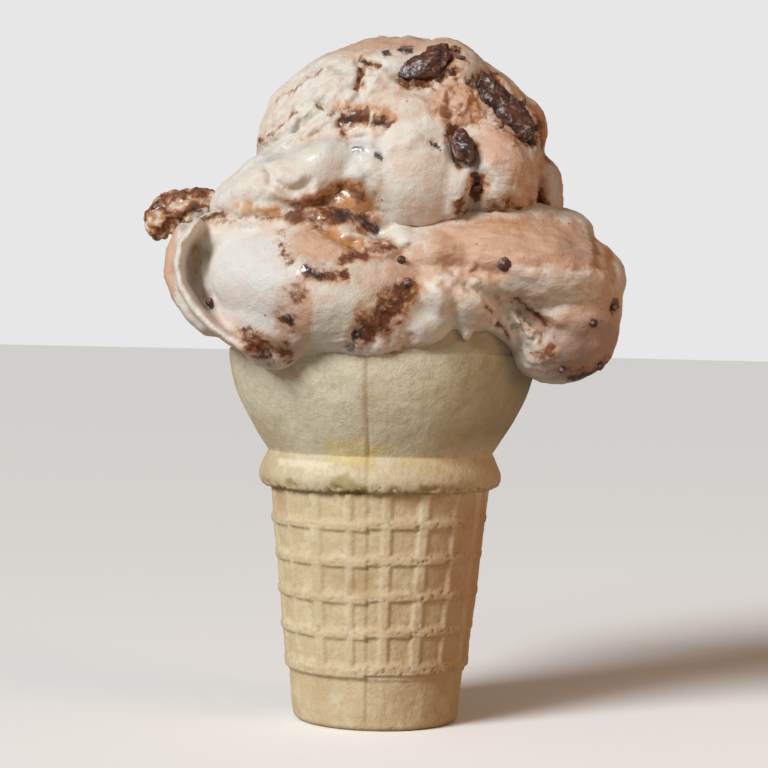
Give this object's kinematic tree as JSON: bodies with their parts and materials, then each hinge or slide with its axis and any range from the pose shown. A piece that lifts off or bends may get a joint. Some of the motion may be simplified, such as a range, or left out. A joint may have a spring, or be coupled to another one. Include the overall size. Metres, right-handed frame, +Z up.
{
  "type": "ice cream cone",
  "caption": "Flat-bottomed lattice wafer cup heaped with marbled ice cream that overhangs its rim, with chocolate chunks set in the upper scoop.",
  "frame": {"origin": "centre of the cup's flat underside, where it rests", "axes": "+Z up along the cup's axis; the side shown faces -Y; +X is to the viewer's right"},
  "size_m": [0.1011, 0.0798, 0.1435],
  "materials": {
    "wafer": "dry baked wafer, matt and finely pitted",
    "ice_cream": "moist marbled ice cream, satin",
    "fudge_swirl": "ice cream streaked with brown fudge, satin",
    "dark_chocolate": "wet dark chocolate"
  },
  "bodies": {
    "root": {"wafer_cup": "wafer", "lower_scoop": "ice_cream", "upper_scoop": "ice_cream", "side_lump": "fudge_swirl", "chunk_top": "dark_chocolate", "chunk_side": "dark_chocolate", "chunk_front": "dark_chocolate"}
  },
  "joints": []
}
